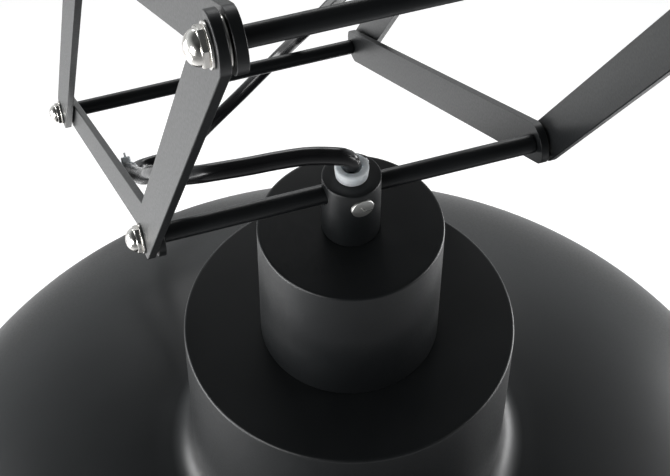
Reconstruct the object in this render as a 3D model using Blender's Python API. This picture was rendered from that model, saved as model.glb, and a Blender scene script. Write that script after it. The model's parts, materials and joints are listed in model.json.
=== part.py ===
"""Arc floor lamp with a scissor arm: a heavy round base, an arched steel pole, a two-plane lattice of flat
bars joined by cross rods, and a stepped dome shade that hangs from the lattice's tip.

Frame: metres, +Z up, origin on the floor under the middle of the base. The arm reaches towards -Y and every
hinge of the lattice turns about an axis parallel to X.
"""
import math

import bmesh
import bpy
import numpy as np
from mathutils import Matrix, Vector

GAP = 0.0003                    # clearance left between touching pieces

# ---- base and pole
BASE_RADIUS = 0.21
BASE_THICK = 0.052
PAD_THICK = 0.003
PAD_RADIUS = 0.200
BASE_EDGE = 0.004
FLANGE_RADIUS, FLANGE_THICK, FLANGE_NECK = 0.046, 0.008, 0.034
FLANGE_WALL, FLANGE_CHAMFER = 0.004, 0.002
PLUG_LENGTH = 0.030
POLE_RADIUS, POLE_WALL = 0.016, 0.002
POLE_SPLIT = 0.50               # height where the straight pole meets the arched one
FERRULE_LENGTH, FERRULE_WALL = 0.060, 0.0032
ARC_RADIUS = 0.880
ARC_LEAD = 0.048                # straight end of the arched pole, inside the head
BOLT_RADIUS, BOLT_HEAD_RADIUS, BOLT_HEAD_THICK = 0.005, 0.009, 0.0065
RECESS_RADIUS, RECESS_DEPTH = 0.016, 0.012
MAINS_GLAND_RADIUS, MAINS_GLAND_LENGTH = 0.0075, 0.022
MAINS_GLAND_DEPTH, MAINS_GLAND_HEIGHT = 0.010, 0.020
MAINS_GLAND_NECK, MAINS_GLAND_LIP = 0.014, 0.0016

# ---- lattice
TIP_HEIGHT = 1.200              # height of the shade's cross rod above the floor
ARM_SLOPE = math.radians(42.4)  # slope of the lattice's centre line, rising from the tip to the pole
HALF_ANGLE = math.radians(78.1)  # angle between a bar and the centre line, at rest
HALF_BAR = 0.286                # distance between neighbouring pivots on a bar
BAR_WIDTH, BAR_THICK = 0.0176, 0.0032
PLANE_X = 0.0790                # inner face of the inner bars
LAYER_PITCH = 0.0044            # from one layer's inner face to the next one's
ROD_RADIUS, THIN_ROD_RADIUS = 0.0040, 0.0030
STUD_RADIUS = 0.0025            # threaded ends of the rods
BORE_CLEARANCE = 0.0004
BORE_REACH = 0.120              # half the length of the cutters that bore the bars
NUT_FLATS, NUT_HEX, NUT_HEIGHT = 0.0115, 0.0030, 0.0066
NUT_DOME_SHARE, NUT_BORE_DEPTH = 0.82, 0.0018
HEX_CORNER = 1 / math.cos(math.pi / 6)  # a hexagon's corner radius over its half width

# ---- pole head
HEAD_EYE_RADIUS, HEAD_EYE_HALF = 0.014, 0.022
HEAD_STEM_RADIUS, HEAD_STEM_LENGTH, HEAD_SOCKET = 0.0195, 0.072, 0.030
PORT_RADIUS, PORT_DEPTH = 0.0058, 0.012
GLAND_RADIUS, GLAND_LENGTH, GLAND_ALONG = 0.0078, 0.010, 0.021

# ---- shade, heights measured from the tip rod's axis
HUB_RADIUS, HUB_TOP, HUB_BOTTOM, HUB_BORE = 0.0121, 0.0077, -0.0236, 0.0053
ROD_INNER_END = 0.0084
CUP_RADIUS, CUP_TOP = 0.0390, -0.0239
DRUM_RADIUS, DRUM_TOP = 0.0730, -0.0910
DOME_RADIUS, DOME_RISE, DOME_RIM = 0.2420, 0.1400, -0.3130
SHELL = 0.0016
FILLET = 0.016
NIPPLE_RADIUS, NIPPLE_BORE, NIPPLE_TOP, NIPPLE_BOTTOM = 0.0050, 0.0040, -0.0050, -0.126
LOCK_NUT_RADIUS, LOCK_NUT_THICK = 0.0095, 0.004
HOLDER_RADIUS, HOLDER_WALL, HOLDER_LENGTH, HOLDER_ROOF, HOLDER_DROP = 0.020, 0.005, 0.050, 0.018, 0.012
RING_RADIUS, RING_HEIGHT, RING_DROP = 0.0275, 0.010, 0.030
BULB_RADIUS, BULB_LENGTH, BULB_NECK_ANGLE = 0.030, 0.094, math.radians(38)
BULB_CAP_RADIUS, BULB_CAP_TIP, BULB_CAP_LENGTH = 0.0130, 0.005, 0.026
BULB_CAP_TAPER, BULB_CAP_GAP = 0.004, 0.004
GRIP_RADIUS, GRIP_HEIGHT = 0.0071, 0.0058
SCREW_AZIMUTH, SCREW_HEIGHT, SCREW_RADIUS = math.radians(-86.0), 0.0, 0.0047
SCREW_SEAT, SCREW_PROUD = 0.0013, 0.0008
SLOT_WIDTH, SLOT_DEPTH, SLOT_TURN = 0.0012, 0.0006, math.radians(25)

# ---- cable
CABLE_RADIUS = 0.0037
CABLE_SPACING, HUB_SPACING = 0.024, 0.006  # the tube's points are closer where the cable turns out of the hub
CABLE_LEAD = 0.036              # straight run out of the head's gland
PARTING_STUB = 0.003            # straight end, along X, on each side of a parting

REACH = (4 * HALF_BAR * math.cos(HALF_ANGLE) * math.cos(ARM_SLOPE)
         + (HEAD_SOCKET + ARC_LEAD) * math.cos(ARM_SLOPE) + ARC_RADIUS * (1 + math.sin(ARM_SLOPE)))
TIP = Vector((0.0, -REACH, TIP_HEIGHT))
BASE_TOP = PAD_THICK + BASE_THICK
X_AXIS = Vector((1.0, 0.0, 0.0))
Y_AXIS = Vector((0.0, 1.0, 0.0))
Z_AXIS = Vector((0.0, 0.0, 1.0))


def bar_vector(sign):
    angle = ARM_SLOPE + sign * HALF_ANGLE
    return Vector((0.0, HALF_BAR * math.cos(angle), HALF_BAR * math.sin(angle)))


FRONT_BAR = bar_vector(1)       # tip to near joint: the outer layer's direction
REAR_BAR = bar_vector(-1)       # tip to far joint: the inner layer's direction
JOINTS = {
    "tip": TIP,
    "near_low": TIP + FRONT_BAR,
    "far_low": TIP + REAR_BAR,
    "cross": TIP + FRONT_BAR + REAR_BAR,
    "near_high": TIP + 2 * FRONT_BAR + REAR_BAR,
    "far_high": TIP + FRONT_BAR + 2 * REAR_BAR,
    "top": TIP + 2 * FRONT_BAR + 2 * REAR_BAR,
}
ARM_AXIS = Vector((0.0, math.cos(ARM_SLOPE), math.sin(ARM_SLOPE)))

# bar name, layer (0 inner, 1 outer), its pivots in order, the pivot it turns about
BARS = (
    ("tip_bar_rear", 0, ("tip", "far_low"), "far_low"),
    ("tip_bar_front", 1, ("tip", "near_low"), "near_low"),
    ("long_bar_front", 1, ("far_low", "cross", "near_high"), "near_high"),
    ("long_bar_rear", 0, ("near_low", "cross", "far_high"), "far_high"),
    ("top_bar_rear", 0, ("near_high", "top"), "top"),
    ("top_bar_front", 1, ("far_high", "top"), "top"),
)
LOOSE_PIVOTS = {("tip_bar_front", "tip"), ("long_bar_rear", "cross")}
LOOSE_CLEARANCE = 0.0008
THIN_RODS = ("near_low", "near_high")


def clear_scene():
    for item in list(bpy.data.objects):
        bpy.data.objects.remove(item, do_unlink=True)


def material(name, colour, roughness, metallic):
    made = bpy.data.materials.new(name)
    made.use_nodes = True
    shader = made.node_tree.nodes["Principled BSDF"]
    shader.inputs["Base Color"].default_value = (*colour, 1.0)
    shader.inputs["Roughness"].default_value = roughness
    shader.inputs["Metallic"].default_value = metallic
    return made


def add_object(name, mesh_builder, finish, origin, sharp=35.0):
    """Turn a bmesh that is built around the world origin into an object placed at origin."""
    mesh = bpy.data.meshes.new(name)
    bmesh.ops.recalc_face_normals(mesh_builder, faces=mesh_builder.faces)
    mesh_builder.to_mesh(mesh)
    mesh_builder.free()
    mesh.shade_smooth()
    mesh.set_sharp_from_angle(angle=math.radians(sharp))
    mesh.materials.append(finish)
    made = bpy.data.objects.new(name, mesh)
    made.location = origin
    bpy.context.scene.collection.objects.link(made)
    return made


def turned(profile, direction=Z_AXIS, steps=24):
    """Revolve a closed outline of (radius, height) points about an axis through the origin."""
    builder = bmesh.new()
    turn = Z_AXIS.rotation_difference(direction).to_matrix()
    rings = []
    for radius, height in profile:
        if radius == 0.0:
            rings.append([builder.verts.new(turn @ Vector((0.0, 0.0, height)))])
            continue
        ring = []
        for step in range(steps):
            angle = 2 * math.pi * step / steps
            point = Vector((radius * math.cos(angle), radius * math.sin(angle), height))
            ring.append(builder.verts.new(turn @ point))
        rings.append(ring)
    for first, second in zip(rings, rings[1:] + rings[:1]):
        if len(first) == 1 and len(second) == 1:
            continue
        for step in range(steps):
            after = (step + 1) % steps
            if len(first) == 1:
                builder.faces.new((first[0], second[step], second[after]))
            elif len(second) == 1:
                builder.faces.new((first[step], second[0], first[after]))
            else:
                builder.faces.new((first[step], second[step], second[after], first[after]))
    return builder


def rod_outline(radius, low, high, stud_low=None, stud_high=None, chamfer=0.0005):
    """Half outline of a round bar from low to high, with thinner studs where they are asked for."""
    points = [(0.0, stud_low if stud_low is not None else low)]
    if stud_low is not None:
        points += [(STUD_RADIUS, stud_low), (STUD_RADIUS, low)]
    points += [(radius - chamfer, low), (radius, low + chamfer)]
    points += [(radius, high - chamfer), (radius - chamfer, high)]
    if stud_high is not None:
        points += [(STUD_RADIUS, high), (STUD_RADIUS, stud_high)]
    points.append((0.0, stud_high if stud_high is not None else high))
    return points


def tube_outline(outer, inner, low, high, chamfer=0.0004):
    return [(inner, low), (outer - chamfer, low), (outer, low + chamfer),
            (outer, high - chamfer), (outer - chamfer, high), (inner, high)]


def cutter(name, builder, origin):
    made = add_object(name, builder, bpy.data.materials.new(name), origin)
    made.hide_render = True
    made.display_type = 'WIRE'
    return made


def boolean(target, tool, operation='DIFFERENCE'):
    step = target.modifiers.new(operation.lower(), 'BOOLEAN')
    step.operation = operation
    step.solver = 'EXACT'
    step.object = tool


def flat_bar(length, thickness, width, steps=6):
    """A flat bar in the YZ plane with round ends, its first pivot at the origin, running along +Y."""
    builder = bmesh.new()
    outline = []
    for centre, start in ((length, -0.5 * math.pi), (0.0, 0.5 * math.pi)):
        for step in range(steps + 1):
            angle = start + math.pi * step / steps
            outline.append((centre + 0.5 * width * math.cos(angle), 0.5 * width * math.sin(angle)))
    sides = []
    for x in (-0.5 * thickness, 0.5 * thickness):
        sides.append([builder.verts.new((x, y, z)) for y, z in outline])
    for ring in sides:
        builder.faces.new(ring)
    count = len(outline)
    for step in range(count):
        after = (step + 1) % count
        builder.faces.new((sides[0][step], sides[0][after], sides[1][after], sides[1][step]))
    return builder


def swept_tube(centres, outer, inner, steps=12):
    """A tube along a path in the YZ plane, open at both ends."""
    builder = bmesh.new()
    rings = []
    for index, centre in enumerate(centres):
        before = centres[max(index - 1, 0)]
        after = centres[min(index + 1, len(centres) - 1)]
        tangent = (after - before).normalized()
        side = X_AXIS
        up = tangent.cross(side)
        walls = []
        for radius in (outer, inner):
            wall = []
            for step in range(steps):
                angle = 2 * math.pi * step / steps
                offset = side * math.cos(angle) + up * math.sin(angle)
                wall.append(builder.verts.new(centre + radius * offset))
            walls.append(wall)
        rings.append(walls)
    for first, second in zip(rings, rings[1:]):
        for wall in (0, 1):
            for step in range(steps):
                after = (step + 1) % steps
                builder.faces.new((first[wall][step], second[wall][step],
                                   second[wall][after], first[wall][after]))
    for walls in (rings[0], rings[-1]):
        for step in range(steps):
            after = (step + 1) % steps
            builder.faces.new((walls[0][step], walls[0][after], walls[1][after], walls[1][step]))
    return builder


def smooth_route(points, spacing):
    """Points at an even spacing on a Catmull-Rom curve through the given ones."""
    control = [Vector(point) for point in points]
    control = [2 * control[0] - control[1]] + control + [2 * control[-1] - control[-2]]
    fine = []
    for index in range(1, len(control) - 2):
        p0, p1, p2, p3 = control[index - 1:index + 3]
        for step in range(40):
            t = step / 40
            fine.append(0.5 * (2 * p1 + (p2 - p0) * t + (2 * p0 - 5 * p1 + 4 * p2 - p3) * t * t
                               + (3 * p1 - p0 - 3 * p2 + p3) * t ** 3))
    fine.append(control[-2])
    steps = [0.0]
    for first, second in zip(fine, fine[1:]):
        steps.append(steps[-1] + (second - first).length)
    count = max(2, round(steps[-1] / spacing))
    places = np.linspace(0.0, steps[-1], count + 1)
    columns = [np.interp(places, steps, [point[axis] for point in fine]) for axis in range(3)]
    return [Vector(row) for row in zip(*columns)]


def tube_curve(name, points, radius, finish):
    curve = bpy.data.curves.new(name, 'CURVE')
    curve.dimensions = '3D'
    curve.bevel_depth = radius
    curve.bevel_resolution = 2
    curve.use_fill_caps = True
    spline = curve.splines.new('POLY')
    spline.points.add(len(points) - 1)
    for point, place in zip(spline.points, points):
        point.co = (*place, 1.0)
    curve.materials.append(finish)
    made = bpy.data.objects.new(name, curve)
    bpy.context.scene.collection.objects.link(made)
    return made


def acorn_nut(name, joint, side, face_x, finish):
    """A hexagon nut with a domed cap, its open bore facing the bar."""
    corner = 0.5 * NUT_FLATS * HEX_CORNER
    dome_radius = NUT_DOME_SHARE * corner
    dome = NUT_HEIGHT - NUT_HEX
    bore = (STUD_RADIUS + GAP) * HEX_CORNER
    profile = [(bore, 0.0), (corner, 0.0), (corner, NUT_HEX)]
    for step in range(3):
        angle = 0.5 * math.pi * step / 3
        profile.append((dome_radius * math.cos(angle), NUT_HEX + GAP + dome * math.sin(angle)))
    blind = NUT_HEX + NUT_BORE_DEPTH
    profile += [(0.0, NUT_HEIGHT + GAP), (0.0, blind), (bore, blind - 0.5 * NUT_BORE_DEPTH)]
    builder = turned(profile, X_AXIS * side, steps=6)
    origin = JOINTS[joint] + X_AXIS * side * face_x
    return add_object(name, builder, finish, origin, sharp=25)


def build_base(iron, black, rubber, nylon, steel):
    bottom = PAD_THICK + GAP
    bore = BOLT_RADIUS + GAP
    rim = BASE_RADIUS - BASE_EDGE
    slant = BASE_EDGE * (1 - math.sqrt(0.5))
    profile = [(bore, bottom + RECESS_DEPTH), (RECESS_RADIUS, bottom + RECESS_DEPTH), (RECESS_RADIUS, bottom),
               (rim, bottom), (BASE_RADIUS - slant, bottom + slant), (BASE_RADIUS, bottom + BASE_EDGE),
               (BASE_RADIUS, BASE_TOP - BASE_EDGE), (BASE_RADIUS - slant, BASE_TOP - slant),
               (rim, BASE_TOP), (bore, BASE_TOP)]
    base = add_object("base_plate", turned(profile, steps=40), iron, (0, 0, 0))
    wide = MAINS_GLAND_RADIUS + GAP
    beyond = 2 * MAINS_GLAND_DEPTH
    wall = Vector((0.0, BASE_RADIUS - MAINS_GLAND_DEPTH, MAINS_GLAND_HEIGHT))
    socket = [(0.0, 0.0), (wide, 0.0), (wide, beyond), (0.0, beyond)]
    boolean(base, cutter("gland_socket", turned(socket, Y_AXIS, steps=14), wall))
    pad = [(0.0, 0.0), (PAD_RADIUS - GAP, 0.0), (PAD_RADIUS, GAP), (PAD_RADIUS, PAD_THICK), (0.0, PAD_THICK)]
    add_object("base_pad", turned(pad, steps=32), rubber, (0, 0, 0))

    hole = CABLE_RADIUS + GAP
    gland = [(hole, GAP), (MAINS_GLAND_RADIUS, GAP), (MAINS_GLAND_RADIUS, MAINS_GLAND_NECK),
             (hole + MAINS_GLAND_LIP, MAINS_GLAND_LENGTH), (hole, MAINS_GLAND_LENGTH)]
    add_object("mains_gland", turned(gland, Y_AXIS, steps=14), nylon, wall)

    low = BASE_TOP + GAP
    neck = POLE_RADIUS + GAP
    flange = [(neck, low), (FLANGE_RADIUS, low), (FLANGE_RADIUS, low + 0.5 * FLANGE_THICK),
              (FLANGE_RADIUS - FLANGE_CHAMFER, low + FLANGE_THICK - FLANGE_CHAMFER),
              (neck + FLANGE_WALL, low + FLANGE_THICK),
              (neck + FLANGE_WALL, low + FLANGE_NECK - FLANGE_CHAMFER),
              (neck + 0.5 * FLANGE_WALL, low + FLANGE_NECK), (neck, low + FLANGE_NECK)]
    add_object("base_flange", turned(flange, steps=20), black, (0, 0, 0))

    plug_outer = POLE_RADIUS - POLE_WALL - GAP
    plug_top = BASE_TOP + PLUG_LENGTH
    plug = [(bore, low), (plug_outer, low), (plug_outer, plug_top), (bore, plug_top)]
    add_object("pole_plug", turned(plug, steps=16), steel, (0, 0, 0))
    head = PAD_THICK + RECESS_DEPTH
    head_low = head - BOLT_HEAD_THICK
    bolt = [(0.0, head_low), (BOLT_HEAD_RADIUS, head_low), (BOLT_HEAD_RADIUS, head), (BOLT_RADIUS, head),
            (BOLT_RADIUS, plug_top), (0.0, plug_top)]
    add_object("base_bolt", turned(bolt, steps=12), steel, (0, 0, 0))


def arc_centres():
    """The arched pole's centre line: from the head's socket, over the top and down to the straight pole."""
    start = JOINTS["top"] + (HEAD_SOCKET + ARC_LEAD) * ARM_AXIS
    centre = start + ARC_RADIUS * Vector((0.0, math.sin(ARM_SLOPE), -math.cos(ARM_SLOPE)))
    turn = 0.5 * math.pi + ARM_SLOPE
    steps = 20
    points = [JOINTS["top"] + HEAD_SOCKET * ARM_AXIS]
    for step in range(steps + 1):
        angle = turn * (1 - step / steps)
        points.append(centre + ARC_RADIUS * Vector((0.0, math.cos(angle), math.sin(angle))))
    points.append(Vector((0.0, 0.0, POLE_SPLIT + 0.5 * GAP)))
    return points


def build_pole(black):
    inner = POLE_RADIUS - POLE_WALL
    straight = tube_outline(POLE_RADIUS, inner, BASE_TOP + GAP, POLE_SPLIT - 0.5 * GAP)
    add_object("lower_pole", turned(straight, steps=16), black, (0, 0, 0))
    add_object("arched_pole", swept_tube(arc_centres(), POLE_RADIUS, inner), black, (0, 0, 0))
    ferrule = tube_outline(POLE_RADIUS + FERRULE_WALL, POLE_RADIUS + GAP,
                           POLE_SPLIT - 0.5 * FERRULE_LENGTH, POLE_SPLIT + 0.5 * FERRULE_LENGTH, 0.001)
    add_object("pole_ferrule", turned(ferrule, steps=16), black, (0, 0, 0))


def build_head(black, nylon):
    """The eye that holds the lattice's top rod, on a sleeve that takes the arched pole's end."""
    eye = [(0.0, -HEAD_EYE_HALF), (HEAD_EYE_RADIUS, -HEAD_EYE_HALF), (HEAD_EYE_RADIUS, HEAD_EYE_HALF),
           (0.0, HEAD_EYE_HALF)]
    head = add_object("pole_head", turned(eye, X_AXIS, steps=20), black, JOINTS["top"])
    stem = [(0.0, 0.004), (HEAD_STEM_RADIUS - 0.002, 0.012), (HEAD_STEM_RADIUS, 0.016),
            (HEAD_STEM_RADIUS, HEAD_STEM_LENGTH - 0.001), (HEAD_STEM_RADIUS - 0.001, HEAD_STEM_LENGTH),
            (0.0, HEAD_STEM_LENGTH)]
    boolean(head, cutter("head_stem", turned(stem, ARM_AXIS, steps=20), JOINTS["top"]), 'UNION')
    wide = POLE_RADIUS + 3 * GAP
    mouth = 1.2 * HEAD_STEM_LENGTH
    socket = [(0.0, HEAD_SOCKET - GAP), (wide, HEAD_SOCKET - GAP), (wide, mouth), (0.0, mouth)]
    boolean(head, cutter("head_socket", turned(socket, ARM_AXIS, steps=20), JOINTS["top"]))
    reach = ROD_RADIUS + GAP
    through = 1.4 * HEAD_EYE_HALF
    bore = [(0.0, -through), (reach, -through), (reach, through), (0.0, through)]
    boolean(head, cutter("head_bore", turned(bore, X_AXIS, steps=16), JOINTS["top"]))
    place, outward = head_gland()
    wide = PORT_RADIUS + GAP
    port = [(0.0, -PORT_DEPTH), (wide, -PORT_DEPTH), (wide, PORT_DEPTH), (0.0, PORT_DEPTH)]
    boolean(head, cutter("head_port", turned(port, outward, steps=16), place))
    hole = CABLE_RADIUS + GAP
    collar = 0.7 * GLAND_LENGTH
    gland = [(hole, -0.3 * PORT_DEPTH), (PORT_RADIUS, -0.3 * PORT_DEPTH), (PORT_RADIUS, 0.2 * GLAND_LENGTH),
             (GLAND_RADIUS, 0.25 * GLAND_LENGTH), (GLAND_RADIUS, collar), (0.8 * GLAND_RADIUS, GLAND_LENGTH),
             (hole, GLAND_LENGTH)]
    add_object("head_gland", turned(gland, outward, steps=16), nylon, place)


def head_gland():
    """Where the cable enters the head: on the sleeve's upper side, ahead of the pole's end."""
    upward = Vector((0.0, -math.sin(ARM_SLOPE), math.cos(ARM_SLOPE)))
    return JOINTS["top"] + GLAND_ALONG * ARM_AXIS + HEAD_STEM_RADIUS * upward, upward


def build_bars(bar_metal):
    """Six bars on each side; every pivot's bore is cut by one long cutter that both sides share."""
    bores = {}
    for joint, place in JOINTS.items():
        for loose in (False, True):
            radius = STUD_RADIUS + (LOOSE_CLEARANCE if loose else BORE_CLEARANCE)
            hole = [(0.0, -BORE_REACH), (radius, -BORE_REACH), (radius, BORE_REACH), (0.0, BORE_REACH)]
            if loose and not any(joint == pivot for _, pivot in LOOSE_PIVOTS):
                continue
            name = f"{joint}_bore_{'loose' if loose else 'close'}"
            bores[joint, loose] = cutter(name, turned(hole, X_AXIS, steps=8), place)
    for name, layer, pivots, hinge in BARS:
        start, end = JOINTS[pivots[0]], JOINTS[pivots[-1]]
        run = end - start
        middle = PLANE_X + layer * LAYER_PITCH + 0.5 * BAR_THICK
        for side, label in ((-1, "left"), (1, "right")):
            builder = flat_bar(run.length, BAR_THICK, BAR_WIDTH)
            turn = Matrix.Rotation(math.atan2(run.z, run.y), 3, 'X')
            bmesh.ops.rotate(builder, verts=builder.verts, cent=(0, 0, 0), matrix=turn)
            shift = start - JOINTS[hinge] + X_AXIS * side * middle
            bmesh.ops.translate(builder, verts=builder.verts, vec=shift)
            bar = add_object(f"{name}_{label}", builder, bar_metal, JOINTS[hinge])
            for joint in pivots:
                boolean(bar, bores[joint, (name, joint) in LOOSE_PIVOTS])


def build_rods(black, nickel):
    shoulder = PLANE_X - GAP
    stud = PLANE_X + LAYER_PITCH + BAR_THICK + NUT_HEX - 0.0002
    nut_face = PLANE_X + LAYER_PITCH + BAR_THICK + GAP
    for joint, place in JOINTS.items():
        if joint == "tip":
            for side, label in ((-1, "left"), (1, "right")):
                outline = rod_outline(ROD_RADIUS, ROD_INNER_END, shoulder, None, stud)
                add_object(f"tip_rod_{label}", turned(outline, X_AXIS * side, steps=10), black, place)
        else:
            radius = THIN_ROD_RADIUS if joint in THIN_RODS else ROD_RADIUS
            outline = rod_outline(radius, -shoulder, shoulder, -stud, stud)
            add_object(f"{joint}_rod", turned(outline, X_AXIS, steps=10), black, place)
        for side, label in ((-1, "left"), (1, "right")):
            acorn_nut(f"{joint}_nut_{label}", joint, side, nut_face, nickel)


def build_hub(black, nickel, nylon):
    edge = 0.0006
    outline = [(HUB_BORE, HUB_BOTTOM), (HUB_RADIUS - edge, HUB_BOTTOM), (HUB_RADIUS, HUB_BOTTOM + edge),
               (HUB_RADIUS, HUB_TOP - edge), (HUB_RADIUS - edge, HUB_TOP), (HUB_BORE, HUB_TOP)]
    hub = add_object("hub", turned(outline), black, TIP)
    reach = ROD_RADIUS + GAP
    through = 2 * HUB_RADIUS
    cross = [(0.0, -through), (reach, -through), (reach, through), (0.0, through)]
    boolean(hub, cutter("hub_cross_bore", turned(cross, X_AXIS, steps=16), TIP))
    outward = Vector((math.cos(SCREW_AZIMUTH), math.sin(SCREW_AZIMUTH), 0.0))
    place = TIP + HUB_RADIUS * outward + SCREW_HEIGHT * Z_AXIS
    wide = SCREW_RADIUS + GAP
    seat = [(0.0, -SCREW_SEAT - GAP), (wide, -SCREW_SEAT - GAP), (wide, HUB_RADIUS), (0.0, HUB_RADIUS)]
    boolean(hub, cutter("screw_seat", turned(seat, outward, steps=18), place))
    head = [(0.0, -SCREW_SEAT), (SCREW_RADIUS, -SCREW_SEAT), (SCREW_RADIUS, 0.5 * SCREW_PROUD),
            (0.9 * SCREW_RADIUS, SCREW_PROUD), (0.0, SCREW_PROUD)]
    screw = add_object("set_screw", turned(head, outward, steps=18), nickel, place)
    slot = bmesh.new()
    bmesh.ops.create_cube(slot, size=1.0)
    bmesh.ops.scale(slot, vec=(3 * SCREW_RADIUS, SLOT_WIDTH, 2 * SLOT_DEPTH), verts=slot.verts)
    turn = Z_AXIS.rotation_difference(outward).to_matrix() @ Matrix.Rotation(SLOT_TURN, 3, 'Z')
    bmesh.ops.rotate(slot, verts=slot.verts, cent=(0, 0, 0), matrix=turn)
    boolean(screw, cutter("screw_slot", slot, place + SCREW_PROUD * outward))
    hole = CABLE_RADIUS + GAP
    grip = [(hole, HUB_TOP - 0.003), (HUB_BORE - GAP, HUB_TOP - 0.003), (HUB_BORE - GAP, HUB_TOP + GAP),
            (GRIP_RADIUS, HUB_TOP + GAP), (GRIP_RADIUS, HUB_TOP + 0.8 * GRIP_HEIGHT),
            (0.9 * GRIP_RADIUS, HUB_TOP + GRIP_HEIGHT), (hole, HUB_TOP + GRIP_HEIGHT)]
    add_object("cord_grip", turned(grip, steps=20), nylon, TIP)


def dome_outline():
    """Outer outline of drum and dome, from the top's bore out and down to the rim."""
    points = [(NIPPLE_RADIUS + GAP, DRUM_TOP), (DRUM_RADIUS - 0.0012, DRUM_TOP),
              (DRUM_RADIUS - 0.0003, DRUM_TOP - 0.0004), (DRUM_RADIUS, DRUM_TOP - 0.0013)]
    join = DOME_RIM + DOME_RISE * math.sqrt(1 - (DRUM_RADIUS / DOME_RADIUS) ** 2)
    slope = -DOME_RISE * DRUM_RADIUS / (DOME_RADIUS ** 2 * math.sqrt(1 - (DRUM_RADIUS / DOME_RADIUS) ** 2))
    half = 0.5 * (0.5 * math.pi + math.atan(slope))
    centre_r = DRUM_RADIUS + FILLET
    centre_z = join + slope * FILLET + FILLET / math.cos(math.atan(slope))
    for step in range(3):
        angle = math.pi + half * step
        points.append((centre_r + FILLET * math.cos(angle), centre_z + FILLET * math.sin(angle)))
    first = math.asin(min(1.0, (points[-1][0] + 0.002) / DOME_RADIUS))
    for step in range(8):
        angle = first + (0.5 * math.pi - first) * step / 7
        points.append((DOME_RADIUS * math.sin(angle), DOME_RIM + DOME_RISE * math.cos(angle)))
    return points


def inset(points, distance):
    """The same outline moved inwards by the sheet's thickness."""
    moved = []
    for index, (radius, height) in enumerate(points):
        before = points[max(index - 1, 0)]
        after = points[min(index + 1, len(points) - 1)]
        run = Vector((after[0] - before[0], after[1] - before[1])).normalized()
        moved.append((radius + distance * run.y, height - distance * run.x))
    moved[0] = (points[0][0], points[0][1] - distance)
    moved[-1] = (points[-1][0] - distance, points[-1][1])
    return moved


def build_shade(black, steel, brass, white, opal):
    bore = NIPPLE_RADIUS + GAP
    edge = 0.0012
    cup = [(bore, CUP_TOP), (CUP_RADIUS - edge, CUP_TOP), (CUP_RADIUS - 0.3 * edge, CUP_TOP - 0.3 * edge),
           (CUP_RADIUS, CUP_TOP - edge), (CUP_RADIUS, DRUM_TOP + GAP), (CUP_RADIUS - SHELL, DRUM_TOP + GAP),
           (CUP_RADIUS - SHELL, CUP_TOP - SHELL), (bore, CUP_TOP - SHELL)]
    add_object("cup_cover", turned(cup, steps=28), black, TIP)
    outer = dome_outline()
    add_object("dome_shade", turned(outer + inset(outer, SHELL)[::-1], steps=36), black, TIP)
    nipple = tube_outline(NIPPLE_RADIUS, NIPPLE_BORE, NIPPLE_BOTTOM, NIPPLE_TOP)
    add_object("threaded_nipple", turned(nipple, steps=12), steel, TIP)
    top = DRUM_TOP - SHELL - GAP
    low, wide = top - LOCK_NUT_THICK, bore * HEX_CORNER
    nut = [(wide, low), (LOCK_NUT_RADIUS, low), (LOCK_NUT_RADIUS, top), (wide, top)]
    add_object("lock_nut", turned(nut, steps=6), brass, TIP)

    outside, inside = HOLDER_RADIUS, HOLDER_RADIUS - HOLDER_WALL
    holder_top = top - LOCK_NUT_THICK - HOLDER_DROP
    holder_bottom = holder_top - HOLDER_LENGTH
    roof = holder_top - HOLDER_ROOF
    holder = [(bore, holder_top), (0.6 * outside, holder_top), (0.95 * outside, holder_top - 0.006),
              (outside, holder_top - 0.010), (outside, holder_bottom), (inside, holder_bottom),
              (inside, roof), (bore, roof)]
    add_object("lampholder", turned(holder, steps=20), white, TIP)
    ring_top = holder_top - RING_DROP
    ring = [(outside + GAP, ring_top), (RING_RADIUS, ring_top), (RING_RADIUS, ring_top - 0.2 * RING_HEIGHT),
            (0.87 * RING_RADIUS, ring_top - RING_HEIGHT), (outside + GAP, ring_top - RING_HEIGHT)]
    add_object("holder_ring", turned(ring, steps=20), white, TIP)

    cap_top = roof - BULB_CAP_GAP
    centre = cap_top - BULB_LENGTH + BULB_RADIUS
    bulb = [(0.0, cap_top), (BULB_CAP_TIP, cap_top), (BULB_CAP_RADIUS, cap_top - BULB_CAP_TAPER),
            (BULB_CAP_RADIUS, cap_top - BULB_CAP_LENGTH)]
    for step in range(9):
        angle = BULB_NECK_ANGLE + (math.pi - BULB_NECK_ANGLE) * step / 8
        radius = BULB_RADIUS * math.sin(angle) if step < 8 else 0.0
        bulb.append((radius, centre + BULB_RADIUS * math.cos(angle)))
    add_object("bulb", turned(bulb, steps=16), opal, TIP)


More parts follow.
